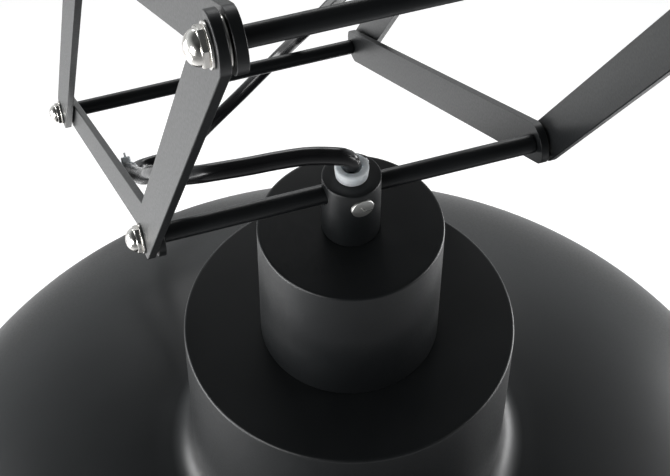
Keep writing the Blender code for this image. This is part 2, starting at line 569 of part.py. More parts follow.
def cable_route():
    """The lamp cable's hand-chosen points, measured from the tip rod's middle, and where it is parted."""
    gland, outward = head_gland()
    end = gland - TIP + (GLAND_LENGTH + GAP) * outward
    lead = gland - TIP + CABLE_LEAD * outward
    hub_run = [(0.0, 0.0, HUB_TOP + GRIP_HEIGHT + GAP), (-0.0003, 0.0, 0.0158), (-0.0030, 0.0, 0.0192),
               (-0.0088, 0.001, 0.0209), (-0.0147, 0.002, 0.0219), (-0.0205, 0.003, 0.0222),
               (-0.0305, 0.004, 0.0222), (-0.0410, 0.005, 0.0217)]
    tip_run = [(-0.0540, 0.0078, 0.0198), (-0.0605, 0.0115, 0.0163), (-0.0668, 0.0175, 0.0110),
               (-0.0710, 0.027, 0.0030), (-0.0735, 0.042, -0.0125), (-0.0735, 0.062, -0.0360),
               (-0.0735, 0.082, -0.0570), (-0.0735, 0.104, -0.0790), (-0.0725, 0.128, -0.1040),
               (-0.0695, 0.155, -0.1380), (-0.0640, 0.182, -0.1720), (-0.0575, 0.204, -0.1960),
               (-0.0500, 0.216, -0.2060)]
    rise_run = [(-0.0360, 0.219, -0.2080), (-0.0250, 0.226, -0.2140), (-0.0108, 0.236, -0.2137),
                (0.0, 0.242, -0.2108), (0.0165, 0.247, -0.2013), (0.0303, 0.248, -0.1885),
                (0.0436, 0.246, -0.1722), (0.0529, 0.228, -0.1393), (0.0580, 0.200, -0.0965),
                (0.0600, 0.163, -0.0450), (0.0605, 0.130, 0.0080), (0.0605, 0.091, 0.0560),
                (0.0590, 0.0475, 0.1110), (0.0570, 0.007, 0.1820), (0.0560, -0.029, 0.2440),
                (0.0560, -0.064, 0.2960), (0.0530, -0.085, 0.3260), (0.0460, -0.097, 0.3450),
                (0.0370, -0.101, 0.3520)]
    top_run = [(0.0250, -0.101, 0.3540), (0.0150, -0.095, 0.3600), (0.0090, -0.083, 0.3700),
               (0.0080, -0.062, 0.3770), (0.0080, -0.031, 0.3710), (0.0080, 0.007, 0.3450),
               (0.0070, 0.048, 0.3080), (0.0040, 0.093, 0.2680), tuple(lead), tuple(end)]
    runs = (hub_run, tip_run, rise_run, top_run)
    points = [TIP + Vector(point) for run in runs for point in run]
    partings = [TIP + 0.5 * (Vector(first[-1]) + Vector(second[0])) for first, second in zip(runs, runs[1:])]
    return points, partings


def build_cable(cable):
    """Four lengths of one cable. Each parting is a plane square to X, so its two faces slide past each other
    when the hinge beside it turns."""
    points, partings = cable_route()
    fine = smooth_route(points, HUB_SPACING)
    near = min(range(len(fine)), key=lambda index: (fine[index] - partings[0]).length)
    route = fine[:near - 1] + fine[near + 2::round(CABLE_SPACING / HUB_SPACING)]
    route[-1] = points[-1]
    start = []
    first = 0
    for name, parting in zip(("cable_hub", "cable_tip", "cable_rise"), partings):
        middles = [0.5 * (here + after) for here, after in zip(route, route[1:])]
        cut = min(range(len(middles)), key=lambda span: (middles[span] - parting).length)
        along = X_AXIS * math.copysign(1.0, route[cut + 1].x - route[cut].x)
        ends = [middles[cut] - step * along for step in (PARTING_STUB, 0.5 * GAP)]
        tube_curve(name, start + route[first:cut + 1] + ends, CABLE_RADIUS, cable)
        start = [middles[cut] + step * along for step in (0.5 * GAP, PARTING_STUB)]
        first = cut + 1
    tube_curve("cable_top", start + route[first:], CABLE_RADIUS, cable)


def main():
    clear_scene()
    iron = material("black_iron", (0.016, 0.018, 0.020), 0.48, 0.0)
    black = material("black_steel", (0.016, 0.018, 0.020), 0.42, 0.0)
    light_black = material("black_aluminium", (0.017, 0.019, 0.021), 0.38, 0.0)
    nickel = material("nickel_plate", (0.72, 0.71, 0.68), 0.18, 1.0)
    steel = material("zinc_steel", (0.50, 0.50, 0.50), 0.40, 1.0)
    brass = material("brass", (0.70, 0.52, 0.25), 0.35, 1.0)
    nylon = material("clear_nylon", (0.72, 0.76, 0.78), 0.35, 0.0)
    rubber = material("rubber_pad", (0.02, 0.02, 0.02), 0.85, 0.0)
    white = material("white_porcelain", (0.85, 0.85, 0.82), 0.25, 0.0)
    opal = material("opal_bulb", (0.93, 0.92, 0.88), 0.20, 0.0)
    cable = material("cable_black", (0.010, 0.010, 0.012), 0.22, 0.0)
    build_base(iron, black, rubber, nylon, steel)
    build_pole(black)
    build_head(black, nylon)
    build_bars(light_black)
    build_rods(black, nickel)
    build_hub(black, nickel, nylon)
    build_shade(light_black, steel, brass, white, opal)
    build_cable(cable)


main()
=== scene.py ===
"""Looks of the arc floor lamp: fine turned and swept surfaces, rounded edges, washers, screws, one smooth
cable with its tie, procedural materials, soft light and the camera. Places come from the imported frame."""
import json
import math

import bmesh
import bpy
import numpy as np
from mathutils import Matrix, Vector


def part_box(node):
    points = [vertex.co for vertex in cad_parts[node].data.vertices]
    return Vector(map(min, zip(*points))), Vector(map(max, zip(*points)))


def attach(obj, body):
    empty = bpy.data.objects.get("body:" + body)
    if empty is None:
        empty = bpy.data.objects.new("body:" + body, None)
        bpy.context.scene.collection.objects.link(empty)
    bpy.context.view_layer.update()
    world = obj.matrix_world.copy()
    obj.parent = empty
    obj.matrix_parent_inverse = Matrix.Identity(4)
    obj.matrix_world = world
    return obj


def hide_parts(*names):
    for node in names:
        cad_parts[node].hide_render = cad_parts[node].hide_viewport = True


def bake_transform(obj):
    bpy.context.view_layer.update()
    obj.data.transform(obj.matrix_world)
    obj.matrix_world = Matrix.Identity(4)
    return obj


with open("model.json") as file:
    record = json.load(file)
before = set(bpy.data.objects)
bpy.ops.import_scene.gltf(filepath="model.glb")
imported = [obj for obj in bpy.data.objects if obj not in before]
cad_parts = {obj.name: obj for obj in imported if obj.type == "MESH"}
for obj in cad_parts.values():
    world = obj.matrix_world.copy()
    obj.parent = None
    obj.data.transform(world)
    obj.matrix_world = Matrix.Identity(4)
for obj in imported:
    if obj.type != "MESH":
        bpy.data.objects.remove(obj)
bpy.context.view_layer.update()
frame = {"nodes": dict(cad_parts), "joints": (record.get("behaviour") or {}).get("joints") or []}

X, Y, Z = Vector((1, 0, 0)), Vector((0, 1, 0)), Vector((0, 0, 1))
GAP = 0.0003
SIDES = ((-1, "left"), (1, "right"))


def middle(node):
    low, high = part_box(node)
    return 0.5 * (low + high)


HINGE = {joint["name"]: Vector(joint["pos_m"]) for joint in frame["joints"]}
TIP = HINGE["shade_tilt"]
TOP = HINGE["arm_reach"]
PIVOT = {"tip": TIP, "near_low": HINGE["near_low_pivot"], "far_low": HINGE["far_low_pivot"],
         "cross": middle("cross_rod"), "near_high": HINGE["near_high_pivot"],
         "far_high": HINGE["far_high_pivot"], "top": TOP}
ARM_AXIS = (TOP - TIP).normalized()
UPWARD = Vector((0, -ARM_AXIS.z, ARM_AXIS.y))

# ---- sizes shared with the CAD model
BAR_WIDTH, BAR_THICK, PLANE_X, LAYER_PITCH = 0.0176, 0.0032, 0.0790, 0.0044
ROD_RADIUS, THIN_ROD_RADIUS, STUD_RADIUS = 0.0040, 0.0030, 0.0025
HUB_RADIUS, HUB_TOP, HUB_BOTTOM, HUB_BORE = 0.0121, 0.0077, -0.0236, 0.0053
ROD_INNER_END = 0.0084
CUP_RADIUS, CUP_TOP = 0.0390, -0.0239
DRUM_RADIUS, DRUM_TOP = 0.0730, -0.0910
DOME_RADIUS, DOME_RISE, DOME_RIM, FILLET, SHELL = 0.2420, 0.1400, -0.3130, 0.016, 0.0016
CABLE_RADIUS = 0.0037
POLE_RADIUS, POLE_SPLIT, ARC_RADIUS, ARC_LEAD = 0.016, 0.50, 0.880, 0.048
HEAD_EYE_RADIUS, HEAD_EYE_HALF, HEAD_SOCKET = 0.014, 0.022, 0.030
HEAD_STEM_RADIUS, HEAD_STEM_LENGTH = 0.0195, 0.072
GLAND = TOP + 0.021 * ARM_AXIS + HEAD_STEM_RADIUS * UPWARD
BASE_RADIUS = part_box("base_plate")[1].x
BASE_LOW, BASE_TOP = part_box("base_plate")[0].z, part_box("base_plate")[1].z


# ---- camera: looks down on the shade's top from the front left, with a long lens
CAMERA_FROM_TIP = Vector((-0.15488, -0.45107, 0.56034))
CAMERA_RIGHT = Vector((0.95179, -0.30670, 0.00435))
CAMERA_UP = Vector((0.23644, 0.74263, 0.62658))
SENSOR_WIDTH, LENS, NEAR_CLIP = 36.0, 98.03, 0.02    # the first two in millimetres


def make_camera():
    data = bpy.data.cameras.new("camera")
    data.sensor_width = SENSOR_WIDTH
    data.lens = LENS
    data.clip_start = NEAR_CLIP
    camera = bpy.data.objects.new("camera", data)
    bpy.context.scene.collection.objects.link(camera)
    right = CAMERA_RIGHT.normalized()
    back = right.cross(CAMERA_UP).normalized()
    turn = Matrix((right, back.cross(right), back)).transposed()
    camera.matrix_world = Matrix.Translation(TIP + CAMERA_FROM_TIP) @ turn.to_4x4()
    bpy.context.scene.camera = camera


# ---- materials
class Nodes:
    """A material's node tree with a short way to add and link nodes."""

    def __init__(self, name, **values):
        self.material = bpy.data.materials.new(name)
        self.material.use_nodes = True
        self.tree = self.material.node_tree
        self.shader = self.tree.nodes["Principled BSDF"]
        for socket, value in values.items():
            self.shader.inputs[socket.replace("_", " ")].default_value = value
        self.place = self.add("ShaderNodeTexCoord").outputs["Object"]

    def add(self, kind, **values):
        node = self.tree.nodes.new(kind)
        for key, value in values.items():
            if key in node.inputs:
                node.inputs[key].default_value = value
            else:
                setattr(node, key, value)
        return node

    def link(self, source, target):
        self.tree.links.new(source, target)

    def noise(self, scale, detail=3.0, stretch=(1, 1, 1)):
        mapping = self.add("ShaderNodeMapping", Scale=stretch)
        node = self.add("ShaderNodeTexNoise", Scale=scale, Detail=detail)
        self.link(self.place, mapping.inputs["Vector"])
        self.link(mapping.outputs["Vector"], node.inputs["Vector"])
        return node.outputs["Fac"]

    def spread(self, source, low, high, start=0.3, end=0.7):
        """A texture value turned into a range between low and high."""
        node = self.add("ShaderNodeMapRange")
        for socket, value in zip(("From Min", "From Max", "To Min", "To Max"), (start, end, low, high)):
            node.inputs[socket].default_value = value
        self.link(source, node.inputs["Value"])
        return node.outputs["Result"]

    def mix(self, factor, first, second):
        """The first colour where the factor is 0, the second where it is 1."""
        node = self.add("ShaderNodeMix", data_type="RGBA")
        ends = [socket for socket in node.inputs if socket.type == "RGBA"]
        for socket, colour in zip(ends, (first, second)):
            socket.default_value = (*colour, 1)
        self.link(factor, node.inputs["Factor"])
        return next(socket for socket in node.outputs if socket.type == "RGBA")

    def bump(self, source, strength, distance):
        node = self.add("ShaderNodeBump", Strength=strength, Distance=distance)
        self.link(source, node.inputs["Height"])
        self.link(node.outputs["Normal"], self.shader.inputs["Normal"])


def powder_coat(name, dark, light, roughness):
    """Satin black coat: a fine orange peel, and faint cloudy changes of tone and gloss."""
    made = Nodes(name, IOR=1.45)
    cloud = made.noise(38.0, 5.0)
    made.link(made.mix(made.spread(cloud, 0.0, 1.0), dark, light), made.shader.inputs["Base Color"])
    fine = made.noise(900.0, 2.0)
    made.link(made.spread(fine, roughness - 0.03, roughness + 0.05), made.shader.inputs["Roughness"])
    made.bump(made.noise(1500.0, 2.0), 0.10, 0.00008)
    return made.material


def nickel_plate():
    """Bright plating with small changes of gloss."""
    made = Nodes("nickel_plate", Metallic=1.0, Base_Color=(0.78, 0.76, 0.72, 1))
    made.link(made.spread(made.noise(700.0), 0.10, 0.26), made.shader.inputs["Roughness"])
    made.bump(made.noise(450.0), 0.12, 0.0001)
    return made.material


def turned_steel(name, colour, roughness):
    """Bare metal with fine bands like tool marks."""
    made = Nodes(name, Metallic=1.0, Base_Color=(*colour, 1))
    rings = made.noise(600.0, 2.0, (0.1, 0.1, 4.0))
    made.link(made.spread(rings, roughness - 0.08, roughness + 0.10), made.shader.inputs["Roughness"])
    made.bump(rings, 0.15, 0.00006)
    return made.material


def clear_nylon():
    """Milky translucent plastic."""
    made = Nodes("clear_nylon", Transmission_Weight=0.10, IOR=1.45, Subsurface_Weight=0.85,
                 Subsurface_Scale=0.003, Subsurface_Radius=(1.0, 1.0, 1.0))
    made.link(made.mix(made.spread(made.noise(500.0), 0, 1), (0.72, 0.77, 0.80), (0.82, 0.85, 0.87)),
              made.shader.inputs["Base Color"])
    made.link(made.spread(made.noise(300.0), 0.38, 0.52), made.shader.inputs["Roughness"])
    return made.material


def cable_sheath():
    """Glossy black plastic with the faint lengthwise waviness of the cores inside."""
    made = Nodes("cable_black", IOR=1.5)
    made.link(made.mix(made.spread(made.noise(60.0), 0, 1), (0.006, 0.006, 0.007), (0.012, 0.012, 0.013)),
              made.shader.inputs["Base Color"])
    made.link(made.spread(made.noise(220.0), 0.16, 0.27), made.shader.inputs["Roughness"])
    made.bump(made.noise(120.0, 1.0), 0.05, 0.0003)
    return made.material


def rubber():
    """Dull, grainy black rubber."""
    made = Nodes("rubber_pad", Base_Color=(0.020, 0.020, 0.021, 1))
    made.link(made.spread(made.noise(200.0), 0.72, 0.92), made.shader.inputs["Roughness"])
    made.bump(made.noise(900.0), 0.4, 0.0002)
    return made.material


def gloss_white(name, first, second, roughness):
    """Glazed white, faintly uneven in tone."""
    made = Nodes(name)
    made.link(made.mix(made.spread(made.noise(25.0), 0, 1), first, second), made.shader.inputs["Base Color"])
    made.link(made.spread(made.noise(400.0), roughness, roughness + 0.12), made.shader.inputs["Roughness"])
    made.bump(made.noise(800.0), 0.05, 0.0001)
    return made.material


def white_coat():
    """The shade's inside: matt white coat with a fine peel."""
    made = Nodes("shade_inside")
    made.link(made.mix(made.spread(made.noise(30.0), 0, 1), (0.74, 0.74, 0.72), (0.82, 0.82, 0.80)),
              made.shader.inputs["Base Color"])
    made.link(made.spread(made.noise(900.0), 0.48, 0.62), made.shader.inputs["Roughness"])
    made.bump(made.noise(1400.0), 0.12, 0.0001)
    return made.material


COAT = powder_coat("black_aluminium", (0.0055, 0.0064, 0.0070), (0.0080, 0.0090, 0.0098), 0.37)
STEEL_COAT = powder_coat("black_steel", (0.0065, 0.0074, 0.0082), (0.0090, 0.0100, 0.0110), 0.36)
IRON_COAT = powder_coat("black_iron", (0.0125, 0.0135, 0.0140), (0.0190, 0.0200, 0.0205), 0.46)
NICKEL = nickel_plate()
ZINC = turned_steel("zinc_steel", (0.62, 0.62, 0.60), 0.34)
BRASS = turned_steel("brass", (0.76, 0.58, 0.28), 0.30)
NYLON = clear_nylon()
CABLE = cable_sheath()
RUBBER = rubber()
PORCELAIN = gloss_white("white_porcelain", (0.80, 0.80, 0.77), (0.86, 0.86, 0.83), 0.14)
OPAL = gloss_white("opal_bulb", (0.90, 0.89, 0.85), (0.95, 0.94, 0.91), 0.16)
INSIDE = white_coat()


# ---- mesh tools
SMOOTH_ANGLE = 32.0       # degrees: a face pair that meets more sharply keeps its edge
ON_AXIS = 1e-6
CURVE_STEPS = 40          # samples between two of a route's points, before they are spaced evenly


def piece(name, builder, finishes, body=None, replaces=(), sharp=SMOOTH_ANGLE):
    """A new piece from a bmesh in world coordinates, riding on a body."""
    if not isinstance(finishes, (list, tuple)):
        finishes = [finishes]
    mesh = bpy.data.meshes.new(name)
    bmesh.ops.recalc_face_normals(builder, faces=builder.faces)
    builder.to_mesh(mesh)
    builder.free()
    mesh.shade_smooth()
    mesh.set_sharp_from_angle(angle=math.radians(sharp))
    for finish in finishes:
        mesh.materials.append(finish)
    made = bpy.data.objects.new(name, mesh)
    bpy.context.scene.collection.objects.link(made)
    if body:
        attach(made, body)
    if replaces:
        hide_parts(*replaces)
    return made


def rounded(outline, steps=4):
    """An outline of (radius, height[, fillet]) points with its marked corners turned into arcs."""
    points = []
    count = len(outline)
    for index, corner in enumerate(outline):
        here = Vector(corner[:2])
        if len(corner) < 3:
            points.append(tuple(here))
            continue
        before = Vector(outline[index - 1][:2]) - here
        after = Vector(outline[(index + 1) % count][:2]) - here
        reach = min(corner[2], 0.49 * before.length, 0.49 * after.length)
        start, end = here + reach * before.normalized(), here + reach * after.normalized()
        for step in range(steps + 1):
            t = step / steps
            points.append(tuple((1 - t) ** 2 * start + 2 * t * (1 - t) * here + t * t * end))
    return points


def turned(outline, origin=Vector(), direction=Z, steps=64, closed=True):
    """A bmesh: the outline turned about an axis that runs through origin along direction."""
    builder = bmesh.new()
    turn = Z.rotation_difference(direction).to_matrix()
    rings = []
    for radius, height in outline:
        if radius < ON_AXIS:
            rings.append([builder.verts.new(origin + turn @ Vector((0, 0, height)))])
            continue
        angles = [2 * math.pi * step / steps for step in range(steps)]
        ring = [Vector((radius * math.cos(angle), radius * math.sin(angle), height)) for angle in angles]
        rings.append([builder.verts.new(origin + turn @ point) for point in ring])
    pairs = list(zip(rings, rings[1:]))
    if closed:
        pairs.append((rings[-1], rings[0]))
    for first, second in pairs:
        if len(first) == 1 and len(second) == 1:
            continue
        for step in range(steps):
            after = (step + 1) % steps
            corners = [first[step % len(first)], second[step % len(second)],
                       second[after % len(second)], first[after % len(first)]]
            builder.faces.new(list(dict.fromkeys(corners)))
    return builder


def smooth_route(points, spacing):
    """Evenly spaced points on a Catmull-Rom curve through the given ones."""
    control = [Vector(point) for point in points]
    control = [2 * control[0] - control[1]] + control + [2 * control[-1] - control[-2]]
    fine = []
    for index in range(1, len(control) - 2):
        p0, p1, p2, p3 = control[index - 1:index + 3]
        for step in range(CURVE_STEPS):
            t = step / CURVE_STEPS
            fine.append(0.5 * (2 * p1 + (p2 - p0) * t + (2 * p0 - 5 * p1 + 4 * p2 - p3) * t * t
                               + (3 * p1 - p0 - 3 * p2 + p3) * t ** 3))
    fine.append(control[-2])
    steps = [0.0]
    for first, second in zip(fine, fine[1:]):
        steps.append(steps[-1] + (second - first).length)
    count = max(2, round(steps[-1] / spacing))
    places = np.linspace(0.0, steps[-1], count + 1)
    columns = [np.interp(places, steps, [point[axis] for point in fine]) for axis in range(3)]
    return [Vector(row) for row in zip(*columns)]


def tangents(centres):
    """The direction of travel at each of a route's points."""
    last = len(centres) - 1
    return [(centres[min(index + 1, last)] - centres[max(index - 1, 0)]).normalized()
            for index in range(last + 1)]


def swept(centres, radius, steps=20, along=None):
    """A bmesh tube with flat caps; its rings are carried along without twist."""
    builder = bmesh.new()
    along = along or tangents(centres)
    side = along[0].orthogonal().normalized()
    rings = []
    for index, (centre, ahead) in enumerate(zip(centres, along)):
        if index:
            side = along[index - 1].rotation_difference(ahead) @ side
        up = ahead.cross(side)
        angles = [2 * math.pi * step / steps for step in range(steps)]
        ring = [side * math.cos(angle) + up * math.sin(angle) for angle in angles]
        rings.append([builder.verts.new(centre + radius * out) for out in ring])
    for first, second in zip(rings, rings[1:]):
        for step in range(steps):
            after = (step + 1) % steps
            builder.faces.new((first[step], first[after], second[after], second[step]))
    builder.faces.new(rings[0][::-1])
    builder.faces.new(rings[-1])
    return builder


def block(size, origin, axes):
    """A box of the given size, its middle at origin and its sides along three axes."""
    builder = bmesh.new()
    bmesh.ops.create_cube(builder, size=1.0)
    turn = Matrix(axes).transposed()
    for vertex in builder.verts:
        vertex.co = origin + turn @ Vector(a * b for a, b in zip(vertex.co, size))
    return builder


def soften(target, width, segments=2, angle=30.0):
    """Breaks the edges sharper than the angle, in degrees, with a small round."""
    step = target.modifiers.new("edge", 'BEVEL')
    step.width = width
    step.segments = segments
    step.limit_method = 'ANGLE'
    step.angle_limit = math.radians(angle)
    step.harden_normals = False


def carve(target, cutters, operation='DIFFERENCE'):
    """Boolean cuts (or unions), worked into the mesh, with the cutters thrown away."""
    tools = []
    for number, builder in enumerate(cutters):
        mesh = bpy.data.meshes.new(f"cutter_{number}")
        bmesh.ops.recalc_face_normals(builder, faces=builder.faces)
        builder.to_mesh(mesh)
        builder.free()
        tool = bpy.data.objects.new(f"cutter_{number}", mesh)
        bpy.context.scene.collection.objects.link(tool)
        tools.append(tool)
        step = target.modifiers.new("cut", 'BOOLEAN')
        step.operation = operation
        step.solver = 'EXACT'
        step.object = tool
    graph = bpy.context.evaluated_depsgraph_get()
    finished = bpy.data.meshes.new_from_object(target.evaluated_get(graph))
    target.modifiers.clear()
    target.data = finished
    target.data.shade_smooth()
    target.data.set_sharp_from_angle(angle=math.radians(SMOOTH_ANGLE))
    for tool in tools:
        bpy.data.objects.remove(tool, do_unlink=True)


# ---- cable: the CAD model's route, as one smooth line in six lengths
CABLE_HUB = [(0.0, 0.0, 0.0138), (-0.0003, 0.0, 0.0158), (-0.0030, 0.0, 0.0192),
             (-0.0088, 0.001, 0.0209), (-0.0147, 0.002, 0.0219), (-0.0205, 0.003, 0.0222),
             (-0.0305, 0.004, 0.0222), (-0.0410, 0.005, 0.0217)]
CABLE_TIP = [(-0.0540, 0.0078, 0.0198), (-0.0605, 0.0115, 0.0163), (-0.0668, 0.0175, 0.0110),
             (-0.0710, 0.027, 0.0030), (-0.0735, 0.042, -0.0125), (-0.0735, 0.062, -0.0360),
             (-0.0735, 0.082, -0.0570), (-0.0735, 0.104, -0.0790), (-0.0725, 0.128, -0.1040),
             (-0.0695, 0.155, -0.1380), (-0.0640, 0.182, -0.1720), (-0.0575, 0.204, -0.1960),
             (-0.0500, 0.216, -0.2060)]
CABLE_RISE = [(-0.0360, 0.219, -0.2080), (-0.0250, 0.226, -0.2140), (-0.0108, 0.236, -0.2137),
              (0.0, 0.242, -0.2108), (0.0165, 0.247, -0.2013), (0.0303, 0.248, -0.1885),
              (0.0436, 0.246, -0.1722), (0.0529, 0.228, -0.1393), (0.0580, 0.200, -0.0965),
              (0.0600, 0.163, -0.0450), (0.0605, 0.130, 0.0080), (0.0605, 0.091, 0.0560),
              (0.0590, 0.0475, 0.1110), (0.0570, 0.007, 0.1820), (0.0560, -0.029, 0.2440),
              (0.0560, -0.064, 0.2960), (0.0530, -0.085, 0.3260), (0.0460, -0.097, 0.3450),
              (0.0370, -0.101, 0.3520)]
CABLE_TOP = [(0.0250, -0.101, 0.3540), (0.0150, -0.095, 0.3600), (0.0090, -0.083, 0.3700),
             (0.0080, -0.062, 0.3770), (0.0080, -0.031, 0.3710), (0.0080, 0.007, 0.3450),
             (0.0070, 0.048, 0.3080), (0.0040, 0.093, 0.2680)]
CABLE_LEAD, CABLE_END = 0.036, 0.0103    # above the head's gland
CABLE_SPACING, CABLE_SIDES = 0.0025, 20
# piece, body it leaves, body it joins, X at which the bend starts and ends, CAD node
CABLE_BENDS = (("cable_at_hub", "shade", "tip_rods", -0.008, -0.044, "cable_hub"),
               ("cable_at_tip", "tip_rods", "tip_arm_rear", -0.049, -0.0725, "cable_tip"),
               ("cable_low_loop", "tip_arm_rear", "long_arm_front", -0.068, 0.042, "cable_tip"),
               ("cable_along_arm", "long_arm_front", None, 0.0, 0.0, "cable_rise"),
               ("cable_high_loop", "long_arm_front", "top_arm_rear", 0.0545, 0.0095, "cable_top"),
               ("cable_at_head", "top_arm_rear", "stand", 0.0, 0.0, "cable_top"))
TIE_POINT = 7    # the route's point in CABLE_TIP that the tie sits on


def make_cable():
    """One smooth tube in six lengths; only the length along the arm rides on a body, the others on none."""
    places = [TIP + Vector(point) for point in CABLE_HUB + CABLE_TIP + CABLE_RISE + CABLE_TOP]
    places += [GLAND + CABLE_LEAD * UPWARD, GLAND + CABLE_END * UPWARD]
    route = smooth_route(places, CABLE_SPACING)
    along = tangents(route)

    def nearest(point):
        target = TIP + Vector(point)
        return min(range(len(route)), key=lambda index: (route[index] - target).length)

    first_parting = 0.5 * (Vector(CABLE_HUB[-1]) + Vector(CABLE_TIP[0]))
    marks = (first_parting, CABLE_TIP[TIE_POINT], CABLE_RISE[7], CABLE_RISE[14], CABLE_TOP[4])
    cuts = [0] + [nearest(mark) for mark in marks] + [len(route) - 1]
    for (name, first, second, start_x, end_x, node), low, high in zip(CABLE_BENDS, cuts, cuts[1:]):
        tube = swept(route[low:high + 1], CABLE_RADIUS, CABLE_SIDES, along[low:high + 1])
        made = piece(name, tube, CABLE, None if second else first, (node,), sharp=60)
        if name == "cable_at_head":
            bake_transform(made)
        elif second:
            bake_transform(made)


TIE_WIDTH, TIE_THICK, TIE_EDGE = 0.0026, 0.0010, 0.0003
TIE_HEAD_SIZE, TIE_HEAD_LIFT = (0.0042, 0.0046, 0.0026), 0.0008
TIE_TAIL_SIZE, TIE_TAIL_LIFT = (0.0009, 0.0024, 0.0030), 0.0018


def make_tie():
    """A nylon band round the cable beside the rear bar, its ratchet head and cut tail on the upper side."""
    neighbours = (TIE_POINT, TIE_POINT - 1, TIE_POINT + 1)
    place, before, after = (TIP + Vector(CABLE_TIP[index]) for index in neighbours)
    along = (after - before).normalized()
    up = along.cross(X).normalized()
    up *= math.copysign(1.0, up.z)
    hole = CABLE_RADIUS + 0.0001
    half = 0.5 * TIE_WIDTH
    band = rounded([(hole, -half), (hole + TIE_THICK, -half, TIE_EDGE), (hole + TIE_THICK, half, TIE_EDGE),
                    (hole, half)])
    piece("tie_band", turned(band, place, along, 40), NYLON, "tip_arm_rear")
    head_place = place + up * (hole + TIE_THICK + TIE_HEAD_LIFT)
    head = piece("tie_head", block(TIE_HEAD_SIZE, head_place, (X, along, up)), NYLON, "tip_arm_rear")
    soften(head, 0.0006, 3)
    tail_place = head_place + up * TIE_TAIL_LIFT
    tail = piece("tie_tail", block(TIE_TAIL_SIZE, tail_place, (X, along, up)), NYLON, "tip_arm_rear")
    soften(tail, 0.0002)


# ---- lattice
# name, layer counted outwards, pivots along it, body
BARS = (
    ("tip_bar_rear", 0, ("tip", "far_low"), "tip_arm_rear"),
    ("tip_bar_front", 1, ("tip", "near_low"), "tip_arm_front"),
    ("long_bar_front", 1, ("far_low", "cross", "near_high"), "long_arm_front"),
    ("long_bar_rear", 0, ("near_low", "cross", "far_high"), "long_arm_rear"),
    ("top_bar_rear", 0, ("near_high", "top"), "top_arm_rear"),
    ("top_bar_front", 1, ("far_high", "top"), "top_arm_front"),
)
ROD_BODY = {"near_low": "long_arm_rear", "far_low": "long_arm_front", "cross": "long_arm_front",
            "near_high": "top_arm_rear", "far_high": "top_arm_front", "top": "stand", "tip": "tip_rods"}
LOOSE = {("tip_bar_front", "tip"), ("long_bar_rear", "cross")}
BAR_END_STEPS, BAR_EDGE = 24, 0.00035
HOLE_PLAY, LOOSE_PLAY = 0.0004, 0.0008
WALL_START, WALL_END = 0.07, 0.10    # a stretch of X that holds every bar of one side


def make_bars():
    """Flat bars with round ends, bored at their pivots, their edges broken by a small radius."""
    for name, layer, pivots, body in BARS:
        start, end = PIVOT[pivots[0]], PIVOT[pivots[-1]]
        ahead = (end - start).normalized()
        across = X.cross(ahead)
        outline = []
        for centre, turn in ((end, -0.5 * math.pi), (start, 0.5 * math.pi)):
            for step in range(BAR_END_STEPS + 1):
                angle = turn + math.pi * step / BAR_END_STEPS
                outward = ahead * math.cos(angle) + across * math.sin(angle)
                outline.append(centre + 0.5 * BAR_WIDTH * outward)
        for side, label in SIDES:
            inner = PLANE_X + layer * LAYER_PITCH
            builder = bmesh.new()
            rings = [[builder.verts.new(point + X * side * face) for point in outline]
                     for face in (inner, inner + BAR_THICK)]
            for ring in rings:
                builder.faces.new(ring)
            for step in range(len(outline)):
                after = (step + 1) % len(outline)
                builder.faces.new((rings[0][step], rings[0][after], rings[1][after], rings[1][step]))
            bar = piece(f"{name}_{label}_bar", builder, COAT, body, (f"{name}_{label}",))
            holes = []
            for joint in pivots:
                radius = STUD_RADIUS + (LOOSE_PLAY if (name, joint) in LOOSE else HOLE_PLAY)
                wall = [(0.0, WALL_START), (radius, WALL_START), (radius, WALL_END), (0.0, WALL_END)]
                holes.append(turned(wall, PIVOT[joint], X * side, 20))
            carve(bar, holes)
            soften(bar, BAR_EDGE, 2)


STUD_PROUD = 0.0040    # past the outer bar's face
TIP_CHAMFER, SHOULDER_CHAMFER = 0.0004, 0.0006
WASHER_RADIUS, WASHER_THICK, WASHER_EDGE = 0.0068, 0.0010, 0.0003


def make_rods():
    """Cross rods with chamfered shoulders, the washers between the bars, and a domed nut on every end."""
    shoulder = PLANE_X - GAP
    stud = PLANE_X + LAYER_PITCH + BAR_THICK + STUD_PROUD
    for joint, place in PIVOT.items():
        body = ROD_BODY[joint]
        radius = THIN_ROD_RADIUS if joint in ("near_low", "near_high") else ROD_RADIUS
        right_end = [(radius, shoulder, SHOULDER_CHAMFER), (STUD_RADIUS, shoulder), (STUD_RADIUS, stud),
                     (0, stud)]
        if joint == "tip":
            inner_end = [(0, ROD_INNER_END), (radius, ROD_INNER_END, TIP_CHAMFER)]
            for side, label in SIDES:
                rod = turned(rounded(inner_end + right_end), place, X * side, 40)
                piece(f"tip_half_rod_{label}", rod, STEEL_COAT, body, (f"tip_rod_{label}",))
        else:
            left_end = [(corner[0], -corner[1], *corner[2:]) for corner in reversed(right_end)]
            rod = turned(rounded(left_end + right_end), place, X, 40)
            piece(f"{joint}_cross_bar", rod, STEEL_COAT, body, (f"{joint}_rod",))
        for side, label in SIDES:
            make_washer(f"{joint}_washer_{label}", place, side, body)
            make_nut(joint, label, place, side, body)


def make_washer(name, place, side, body):
    """A thin ring between the two layers of bars."""
    hole = STUD_RADIUS + 0.0001
    low = PLANE_X + BAR_THICK + 0.0001
    high = low + WASHER_THICK
    outline = rounded([(hole, low), (WASHER_RADIUS, low, WASHER_EDGE), (WASHER_RADIUS, high, WASHER_EDGE),
                       (hole, high)])
    piece(name, turned(outline, place, X * side, 40), NICKEL, body)


